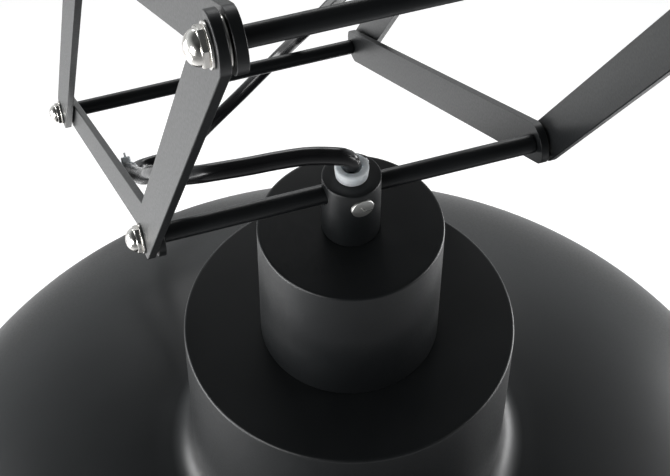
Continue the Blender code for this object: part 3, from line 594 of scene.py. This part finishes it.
NUT_SEAT = PLANE_X + LAYER_PITCH + BAR_THICK + 0.0002
NUT_HALF_FLATS, NUT_CHAMFER, NUT_HEX, NUT_HEIGHT = 0.0050, 0.0004, 0.0030, 0.0066
NUT_FACE_RADIUS, NUT_FACE_THICK, NUT_HEX_START = 0.0062, 0.0009, 0.0007
NUT_DOME_RADIUS, NUT_DOME_RISE, NUT_DOME_STEPS = 0.0049, 0.0038, 12


def make_nut(joint, label, place, side, body):
    """A thin washer face, six flats with their corners turned off, and a low round dome."""
    flats = ((0.0, NUT_HEX_START), (NUT_HALF_FLATS - NUT_CHAMFER, NUT_HEX_START),
             (NUT_HALF_FLATS, NUT_HEX_START + 0.0003), (NUT_HALF_FLATS, NUT_HEX - NUT_CHAMFER),
             (NUT_HALF_FLATS - NUT_CHAMFER, NUT_HEX), (0.0, NUT_HEX))
    hexagon = [(radius / math.cos(math.pi / 6), NUT_SEAT + height) for radius, height in flats]
    nut = piece(f"{joint}_domed_nut_{label}", turned(hexagon, place, X * side, 6), NICKEL, body,
                (f"{joint}_nut_{label}",), sharp=20)
    soften(nut, 0.0003, 2, 20)
    dome = [(0.0, NUT_SEAT + NUT_HEX - NUT_CHAMFER)]
    dome_seat = NUT_SEAT + NUT_HEIGHT - NUT_DOME_RISE
    for step in range(NUT_DOME_STEPS):
        angle = 0.5 * math.pi * step / NUT_DOME_STEPS
        dome.append((NUT_DOME_RADIUS * math.cos(angle), dome_seat + NUT_DOME_RISE * math.sin(angle)))
    dome.append((0.0, NUT_SEAT + NUT_HEIGHT))
    piece(f"{joint}_nut_dome_{label}", turned(dome, place, X * side, 40), NICKEL, body)
    face = rounded([(STUD_RADIUS, NUT_SEAT), (NUT_FACE_RADIUS, NUT_SEAT, 0.0002),
                    (NUT_FACE_RADIUS, NUT_SEAT + NUT_FACE_THICK, 0.0003),
                    (STUD_RADIUS, NUT_SEAT + NUT_FACE_THICK)])
    piece(f"{joint}_nut_face_{label}", turned(face, place, X * side, 40), NICKEL, body)


# ---- shade
SCREW_AZIMUTH, SCREW_HEIGHT, SCREW_RADIUS = math.radians(-86.0), 0.0, 0.0047
SCREW_SEAT, SCREW_PROUD = 0.0013, 0.0004
SCREW_TURN = math.radians(28.0)
CROSS_LONG, CROSS_WIDE, CROSS_DEEP = 0.0034, 0.0007, 0.0014
NOTCH_SIZE = (0.0100, 0.0030, 0.0012)


def make_hub():
    """The hub with its rod bore, a small notch under the left rod and a sunk cross-head screw."""
    outline = rounded([(HUB_BORE, HUB_BOTTOM), (HUB_RADIUS, HUB_BOTTOM, 0.0006),
                       (HUB_RADIUS, HUB_TOP, 0.0009), (HUB_BORE + 0.0004, HUB_TOP, 0.0004),
                       (HUB_BORE, HUB_TOP - 0.0008)])
    hub = piece("hub_body", turned(outline, TIP, Z, 96), COAT, "shade", ("hub",))
    reach = ROD_RADIUS + GAP
    cross = [(0, -0.02), (reach, -0.02), (reach, 0.02), (0, 0.02)]
    outward = Vector((math.cos(SCREW_AZIMUTH), math.sin(SCREW_AZIMUTH), 0))
    seat = TIP + HUB_RADIUS * outward + SCREW_HEIGHT * Z
    wide, deep = SCREW_RADIUS + GAP, -SCREW_SEAT - GAP
    hole = [(0, deep), (wide, deep), (wide, 0.01), (0, 0.01)]
    notch_place = TIP + Vector((-HUB_RADIUS, -0.0005, -ROD_RADIUS - 0.0006))
    notch = block(NOTCH_SIZE, notch_place, (X, Y, Z))
    carve(hub, [turned(cross, TIP, X, 40), turned(hole, seat, outward, 40), notch])
    soften(hub, 0.0003, 2, 40)
    screw = rounded([(0, -SCREW_SEAT), (SCREW_RADIUS, -SCREW_SEAT), (SCREW_RADIUS, SCREW_PROUD, 0.0004),
                     (0, SCREW_PROUD)])
    head = piece("set_screw_head", turned(screw, seat, outward, 48), ZINC, "shade", ("set_screw",))
    sideways = Z.cross(outward)
    tilt = Matrix.Rotation(SCREW_TURN, 3, outward)
    along, over = tilt @ sideways, tilt @ Z
    carve(head, [block(size, seat + SCREW_PROUD * outward, (along, over, outward))
                 for size in ((CROSS_LONG, CROSS_WIDE, CROSS_DEEP), (CROSS_WIDE, CROSS_LONG, CROSS_DEEP))])
    soften(head, 0.00012, 2, 40)


GRIP_TAB_TURN, GRIP_TAB_SIZE = math.radians(12.0), (0.0018, 0.0022, 0.0020)
GRIP_SLIT_SIZE = (0.0030, 0.0009, 0.0042)
GRIP_DEPTH, GRIP_FOOT, GRIP_SHOULDER, GRIP_HEAD = 0.003, 0.0066, 0.0070, 0.0057


def make_grip():
    """Clear cord grip: a collar in and above the hub's mouth, slit on one side, with one small tab."""
    low = HUB_TOP
    hole = CABLE_RADIUS + 0.0002
    high = low + GRIP_HEAD
    outline = rounded([(hole, low - GRIP_DEPTH), (HUB_BORE - GAP, low - GRIP_DEPTH),
                       (HUB_BORE - GAP, low + 0.0002), (GRIP_FOOT, low + 0.0002, 0.0002),
                       (GRIP_SHOULDER, low + 0.0048, 0.0006), (GRIP_FOOT, high, 0.0006),
                       (hole + 0.0004, high, 0.0006), (hole, low + 0.0050)])
    grip = piece("cord_grip_collar", turned(outline, TIP, Z, 64), NYLON, "shade", ("cord_grip",))
    slit = TIP + X * GRIP_FOOT + Z * (low + 0.0020)
    carve(grip, [block(GRIP_SLIT_SIZE, slit, (X, Y, Z))])
    soften(grip, 0.00015, 2, 40)
    out = Vector((math.cos(GRIP_TAB_TURN), math.sin(GRIP_TAB_TURN), 0))
    place = TIP + out * GRIP_FOOT + Z * (low + 0.0044)
    tab = piece("cord_grip_tab", block(GRIP_TAB_SIZE, place, (out, Z.cross(out), Z)), NYLON, "shade")
    soften(tab, 0.0005, 3)


NIPPLE_HOLE, DRUM_EDGE, CUP_EDGE = 0.0053, 0.0016, 0.0014
SHADE_STEPS, FILLET_STEPS, DOME_STEPS = 192, 14, 48


def shade_outline():
    """Outer outline of drum and dome, from the nipple's hole out and down to the rim."""
    top = [(NIPPLE_HOLE, DRUM_TOP), (DRUM_RADIUS, DRUM_TOP, DRUM_EDGE), (DRUM_RADIUS, DRUM_TOP - 0.02)]
    points = rounded(top, 6)[:-1]
    share = math.sqrt(1 - (DRUM_RADIUS / DOME_RADIUS) ** 2)
    join = DOME_RIM + DOME_RISE * share
    slope = -DOME_RISE * DRUM_RADIUS / (DOME_RADIUS ** 2 * share)
    half = 0.5 * (0.5 * math.pi + math.atan(slope))
    centre_r = DRUM_RADIUS + FILLET
    centre_z = join + slope * FILLET + FILLET / math.cos(math.atan(slope))
    for step in range(FILLET_STEPS + 1):
        angle = math.pi + 2 * half * step / FILLET_STEPS
        points.append((centre_r + FILLET * math.cos(angle), centre_z + FILLET * math.sin(angle)))
    first = math.asin((points[-1][0] + 0.002) / DOME_RADIUS)
    for step in range(DOME_STEPS + 1):
        angle = first + (0.5 * math.pi - first) * step / DOME_STEPS
        points.append((DOME_RADIUS * math.sin(angle), DOME_RIM + DOME_RISE * math.cos(angle)))
    return points


def inset(points, distance):
    """The outline moved inwards by the distance."""
    moved = []
    for index, (radius, height) in enumerate(points):
        before, after = points[max(index - 1, 0)], points[min(index + 1, len(points) - 1)]
        run = Vector((after[0] - before[0], after[1] - before[1])).normalized()
        moved.append((radius + distance * run.y, height - distance * run.x))
    moved[0] = (points[0][0], points[0][1] - distance)
    moved[-1] = (points[-1][0] - distance, points[-1][1])
    return moved


def make_shade():
    """Black outside, white inside, one skin closed flat at the rim."""
    outer = shade_outline()
    inner = inset(outer, SHELL)[::-1]
    builder = turned(outer + inner, TIP, Z, SHADE_STEPS)
    builder.faces.ensure_lookup_table()
    for number, face in enumerate(builder.faces):
        face.material_index = 1 if number // SHADE_STEPS >= len(outer) else 0
    piece("shade_skin", builder, [COAT, INSIDE], "shade", ("dome_shade",), sharp=40)
    inside = CUP_RADIUS - SHELL
    cup = rounded([(NIPPLE_HOLE, CUP_TOP), (CUP_RADIUS, CUP_TOP, CUP_EDGE),
                   (CUP_RADIUS, DRUM_TOP + GAP, 0.0003), (inside, DRUM_TOP + GAP),
                   (inside, CUP_TOP - SHELL, 0.001), (NIPPLE_HOLE, CUP_TOP - SHELL)], 6)
    piece("cup_skin", turned(cup, TIP, Z, 128), COAT, "shade", ("cup_cover",))


HOLDER_RADIUS, HOLDER_LENGTH, HOLDER_EDGE = 0.0200, 0.050, 0.0008
CAP_RADIUS, CAP_HEIGHT, CAP_STEPS_PER_TURN, CAP_TURNS = 0.0128, 0.0262, 6, 6
BULB_RADIUS, BULB_DROP = 0.030, 0.064
THREAD_PITCH, THREAD_RADIUS, THREAD_ROOT, THREAD_CORE = 0.001, 0.0050, 0.0045, 0.0040


def make_lamp():
    """Lampholder, its shade ring, the bulb with its screw cap, the threaded nipple and its lock nut."""
    top = DRUM_TOP - SHELL - GAP
    holder_top = top - 0.004 - 0.012
    mouth = holder_top - HOLDER_LENGTH
    holder = rounded([(NIPPLE_HOLE, holder_top), (0.012, holder_top, 0.002),
                      (0.0190, holder_top - 0.006, 0.003), (HOLDER_RADIUS, holder_top - 0.012, 0.003),
                      (HOLDER_RADIUS, mouth, HOLDER_EDGE), (0.0150, mouth, HOLDER_EDGE),
                      (0.0150, holder_top - 0.018), (NIPPLE_HOLE, holder_top - 0.018)])
    piece("lampholder_body", turned(holder, TIP, Z, 64), PORCELAIN, "shade", ("lampholder",))
    ring_top = holder_top - 0.030
    ring = rounded([(0.0203, ring_top), (0.0275, ring_top, 0.0012), (0.0272, ring_top - 0.003, 0.001),
                    (0.0240, ring_top - 0.010, 0.001), (0.0203, ring_top - 0.010)])
    piece("lampholder_ring", turned(ring, TIP, Z, 64), PORCELAIN, "shade", ("holder_ring",))
    cap_top = holder_top - 0.022
    centre = cap_top - BULB_DROP
    neck = cap_top - 0.0265
    bulb = [(0.0, neck), (CAP_RADIUS, neck)]
    bulb += [(CAP_RADIUS + 0.0060 * t * t, neck - 0.0135 * t) for t in (0.25, 0.5, 0.75, 1.0)]
    for degrees in range(42, 180, 6):
        angle = math.radians(degrees)
        bulb.append((BULB_RADIUS * math.sin(angle), centre + BULB_RADIUS * math.cos(angle)))
    bulb.append((0.0, centre - BULB_RADIUS))
    piece("bulb_globe", turned(bulb, TIP, Z, 64), OPAL, "shade", ("bulb",), sharp=50)
    cap = [(0.0, cap_top), (0.0050, cap_top), (0.0105, cap_top - 0.0040)]
    for step in range(CAP_STEPS_PER_TURN * CAP_TURNS + 1):
        wave = math.cos(2 * math.pi * step / CAP_STEPS_PER_TURN)
        cap.append((0.0122 + 0.0006 * wave, cap_top - 0.0050 - 0.0005 * step))
    cap += [(CAP_RADIUS, cap_top - CAP_HEIGHT), (0.0, cap_top - CAP_HEIGHT)]
    piece("bulb_cap", turned(cap, TIP, Z, 48), BRASS, "shade")
    nut = [(0.0064, top - 0.004), (0.0088, top - 0.004), (0.0095, top - 0.0034), (0.0095, top - 0.0006),
           (0.0088, top), (0.0064, top)]
    piece("lock_nut_hex", turned(nut, TIP, Z, 6), BRASS, "shade", ("lock_nut",), sharp=20)
    low, high = (corner.z - TIP.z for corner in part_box("threaded_nipple"))
    turns = int((high - low) / THREAD_PITCH)
    thread = [(THREAD_CORE, low)]
    for step in range(2 * turns + 1):
        radius = THREAD_RADIUS if step % 2 else THREAD_ROOT
        thread.append((radius, low + (high - low) * step / (2 * turns)))
    thread.append((THREAD_CORE, high))
    piece("nipple_thread", turned(thread, TIP, Z, 32), ZINC, "shade", ("threaded_nipple",), sharp=70)


# ---- stand
BASE_EDGE = 0.0042
FLANGE_RADIUS, FLANGE_SCREWS_RADIUS, NECK_HEIGHT = 0.046, 0.0345, 0.0340
FERRULE_LOW, FERRULE_HIGH, FERRULE_THICK = 0.470, 0.530, 0.0032
FERRULE_SCREWS = (0.484, 0.516)


def make_base():
    """The cast base with its rubber pad and the ribbed sleeve where the mains cable leaves."""
    base = rounded([(NIPPLE_HOLE, BASE_LOW + 0.012), (0.016, BASE_LOW + 0.012), (0.016, BASE_LOW, 0.0005),
                    (BASE_RADIUS, BASE_LOW, BASE_EDGE), (BASE_RADIUS, BASE_TOP, BASE_EDGE),
                    (NIPPLE_HOLE, BASE_TOP)], 8)
    plate = piece("base_casting", turned(base, Vector(), Z, 160), IRON_COAT, "stand", ("base_plate",))
    wall = Vector((0, BASE_RADIUS - 0.010, middle("mains_gland").z))
    socket = [(0, 0), (0.0078, 0), (0.0078, 0.02), (0, 0.02)]
    carve(plate, [turned(socket, wall, Y, 40)])
    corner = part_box("base_pad")[1]
    pad = rounded([(0, 0), (corner.x, 0, 0.0006), (corner.x, corner.z), (0, corner.z)])
    piece("base_pad_rubber", turned(pad, Vector(), Z, 128), RUBBER, "stand", ("base_pad",))
    gland = [(CABLE_RADIUS + GAP, GAP), (0.0075, GAP), (0.0075, 0.0115, 0.0002), (0.0072, 0.0120)]
    for ridge in range(4):
        start = 0.0130 + 0.0020 * ridge
        gland += [(0.0070 - 0.0004 * ridge, start), (0.0062 - 0.0004 * ridge, start + 0.0010)]
    gland += [(0.0053, 0.0220, 0.0003), (CABLE_RADIUS + GAP, 0.0220, 0.0003)]
    piece("mains_gland_sleeve", turned(rounded(gland), wall, Y, 48), NYLON, "stand", ("mains_gland",))


def make_pole():
    """The flange with its screws, the straight pole, and the ferrule over the pole's joint."""
    low = BASE_TOP + GAP
    inner = POLE_RADIUS + GAP
    flange = rounded([(inner, low), (FLANGE_RADIUS, low, 0.0004), (FLANGE_RADIUS, low + 0.0060, 0.0016),
                      (inner + 0.0060, low + 0.0080, 0.004), (inner + 0.0040, low + 0.0120, 0.004),
                      (inner + 0.0040, low + NECK_HEIGHT, 0.0012), (inner, low + NECK_HEIGHT)], 6)
    piece("base_flange_casting", turned(flange, Vector(), Z, 96), STEEL_COAT, "stand", ("base_flange",))
    for number in range(3):
        angle = math.radians(90 + 120 * number)
        out = Vector((math.cos(angle), math.sin(angle), 0))
        place = out * FLANGE_SCREWS_RADIUS + Z * (low + 0.0066)
        socket_screw(f"flange_screw_{number}", place, Z, 0.0042, 0.0024)
    socket_screw("neck_screw", Vector((0, inner + 0.0036, low + 0.024)), Y, 0.0026, 0.0010)
    pole = rounded([(0, low), (POLE_RADIUS, low), (POLE_RADIUS, POLE_SPLIT), (0, POLE_SPLIT)])
    piece("straight_pole", turned(pole, Vector(), Z, 64), STEEL_COAT, "stand", ("lower_pole",))
    outer = POLE_RADIUS + FERRULE_THICK
    ferrule = rounded([(inner, FERRULE_LOW), (outer, FERRULE_LOW, 0.0012), (outer, 0.4985, 0.0006),
                       (POLE_RADIUS + 0.0026, 0.5000, 0.0004), (outer, 0.5015, 0.0006),
                       (outer, FERRULE_HIGH, 0.0012), (inner, FERRULE_HIGH)])
    piece("pole_ferrule_sleeve", turned(ferrule, Vector(), Z, 64), STEEL_COAT, "stand", ("pole_ferrule",))
    for number, height in enumerate(FERRULE_SCREWS):
        place = Vector((0, POLE_RADIUS + 0.0028, height))
        socket_screw(f"ferrule_screw_{number}", place, Y, 0.0028, 0.0010)


def finish_plain_nodes():
    """Zinc on the two CAD nodes that stay as they are."""
    for node in ("base_bolt", "pole_plug"):
        materials = frame["nodes"][node].data.materials
        materials.clear()
        materials.append(ZINC)


def socket_screw(name, place, direction, radius, height):
    """A round screw head with a socket in it."""
    outline = rounded([(0, -0.0004), (radius, -0.0004), (radius, height, 0.0005), (0.45 * radius, height),
                       (0.45 * radius, 0.2 * height), (0, 0.2 * height)])
    piece(name, turned(outline, place, direction, 32), ZINC, "stand")


ARCH_STEPS = 96


def make_arch():
    """The bent tube from the pole's joint up and over to the head."""
    start = TOP + (HEAD_SOCKET + ARC_LEAD) * ARM_AXIS
    centre = start - ARC_RADIUS * UPWARD
    opening = 0.5 * math.pi + math.atan2(ARM_AXIS.z, ARM_AXIS.y)
    points = [TOP + (HEAD_SOCKET + GAP) * ARM_AXIS]
    for step in range(ARCH_STEPS + 1):
        angle = opening * (1 - step / ARCH_STEPS)
        points.append(centre + ARC_RADIUS * Vector((0, math.cos(angle), math.sin(angle))))
    points.append(Vector((0, 0, POLE_SPLIT + GAP)))
    piece("arched_tube", swept(points, POLE_RADIUS, 40), STEEL_COAT, "stand", ("arched_pole",), sharp=50)


def make_head():
    """A round eye for the top rod and a sleeve for the pole, with the cable's gland and two grub screws."""
    eye = rounded([(0, -HEAD_EYE_HALF), (HEAD_EYE_RADIUS, -HEAD_EYE_HALF, 0.0012),
                   (HEAD_EYE_RADIUS, HEAD_EYE_HALF, 0.0012), (0, HEAD_EYE_HALF)])
    head = piece("pole_head_casting", turned(eye, TOP, X, 64), STEEL_COAT, "stand", ("pole_head",))
    stem = rounded([(0, 0.004), (0.0175, 0.012, 0.003), (HEAD_STEM_RADIUS, 0.017, 0.003),
                    (HEAD_STEM_RADIUS, HEAD_STEM_LENGTH, 0.0014), (0, HEAD_STEM_LENGTH)])
    carve(head, [turned(stem, TOP, ARM_AXIS, 64)], 'UNION')
    wide = POLE_RADIUS + 3 * GAP
    socket = [(0, HEAD_SOCKET - GAP), (wide, HEAD_SOCKET - GAP), (wide, 0.09), (0, 0.09)]
    reach = ROD_RADIUS + GAP
    bore = [(0, -0.03), (reach, -0.03), (reach, 0.03), (0, 0.03)]
    port = [(0, -0.012), (0.0061, -0.012), (0.0061, 0.012), (0, 0.012)]
    carve(head, [turned(socket, TOP, ARM_AXIS, 64), turned(bore, TOP, X, 40),
                 turned(port, GLAND, UPWARD, 40)])
    hole = CABLE_RADIUS + 0.0002
    gland = rounded([(hole, -0.0036), (0.0058, -0.0036), (0.0058, 0.0022), (0.0078, 0.0025, 0.0003),
                     (0.0078, 0.0068, 0.0008), (0.0062, 0.0076, 0.0006), (0.0054, 0.0100, 0.0008),
                     (hole, 0.0100, 0.0004)])
    piece("head_gland_nut", turned(gland, GLAND, UPWARD, 48), NYLON, "stand", ("head_gland",))
    for number, along in enumerate((0.044, 0.060)):
        place = TOP + along * ARM_AXIS - (HEAD_STEM_RADIUS - 0.0004) * UPWARD
        socket_screw(f"head_screw_{number}", place, -UPWARD, 0.0028, 0.0010)


# ---- light and floor
def make_floor():
    """Pale floor with painted light: its colour falls off from white behind the lamp to grey in front of it,
    and it glows, brightest behind the lamp, though it is no lamp.
    """
    builder = bmesh.new()
    bmesh.ops.create_grid(builder, x_segments=1, y_segments=1, size=9.0)
    made = Nodes("pale_floor", Roughness=0.9, Specular_IOR_Level=0.1, Emission_Color=(1, 1, 1, 1))
    parts = made.add("ShaderNodeSeparateXYZ")
    made.link(made.place, parts.inputs["Vector"])
    # painted light falloff: this mask makes the floor darker in front of the lamp and brighter behind it
    back = made.spread(parts.outputs["Y"], 0.0, 1.0, TIP.y - 0.30, TIP.y + 0.60)
    made.link(made.mix(back, (0.66, 0.66, 0.67), (0.90, 0.90, 0.90)), made.shader.inputs["Base Color"])
    # painted glow: the floor gives off light of its own, brightest behind the lamp
    made.link(made.spread(back, 0.14, 0.42, 0.0, 1.0), made.shader.inputs["Emission Strength"])
    floor = piece("floor", builder, made.material)
    floor.location.z = -0.0005


def make_world():
    """Bright near the horizon, dim overhead and towards the camera, as in a light tent open at the front."""
    world = bpy.data.worlds.new("studio")
    world.use_nodes = True
    bpy.context.scene.world = world
    tree = world.node_tree
    background = tree.nodes["Background"]
    direction = tree.nodes.new("ShaderNodeTexCoord")
    parts = tree.nodes.new("ShaderNodeSeparateXYZ")
    tree.links.new(direction.outputs["Generated"], parts.inputs["Vector"])
    factors = []
    for axis, limits in (("Z", (0.0, 0.72, 0.85, 0.08)), ("Y", (-0.75, -0.10, 0.22, 1.0))):
        ramp = tree.nodes.new("ShaderNodeMapRange")
        for socket, value in zip(("From Min", "From Max", "To Min", "To Max"), limits):
            ramp.inputs[socket].default_value = value
        tree.links.new(parts.outputs[axis], ramp.inputs["Value"])
        factors.append(ramp.outputs["Result"])
    product = tree.nodes.new("ShaderNodeMath")
    product.operation = 'MULTIPLY'
    for socket, factor in zip(product.inputs, factors):
        tree.links.new(factor, socket)
    tree.links.new(product.outputs["Value"], background.inputs["Strength"])
    background.inputs["Color"].default_value = (0.94, 0.98, 1.0, 1)


def softbox(name, offset, size, power):
    """An area light at an offset from the tip pivot, aimed a little below it; power in watts."""
    data = bpy.data.lights.new(name, 'AREA')
    data.shape = 'RECTANGLE'
    data.size, data.size_y = size
    data.energy = power
    light = bpy.data.objects.new(name, data)
    light.location = TIP + Vector(offset)
    light.rotation_mode = 'QUATERNION'
    light.rotation_quaternion = (Vector((0, 0, -0.15)) - Vector(offset)).to_track_quat('-Z', 'Y')
    bpy.context.scene.collection.objects.link(light)


def make_light():
    softbox("softbox_left", (-1.6, -0.70, 0.35), (0.9, 0.9), 20)
    softbox("softbox_right", (1.6, -0.50, 0.25), (0.5, 0.9), 10)
    softbox("low_back_left", (-1.45, 0.65, -0.22), (0.8, 0.7), 15)
    softbox("low_left", (-1.35, 0.0, -0.55), (0.7, 0.6), 12)
    softbox("low_right", (1.35, 0.20, -0.45), (0.8, 0.7), 13)
    softbox("softbox_back", (0.6, 2.4, 0.9), (2.0, 0.8), 16)


make_camera()
make_cable()
make_world()
make_light()
make_floor()
make_bars()
make_rods()
make_tie()
make_hub()
make_grip()
make_shade()
make_lamp()
make_base()
make_pole()
make_arch()
make_head()
finish_plain_nodes()
bpy.context.scene.view_settings.view_transform = 'Standard'
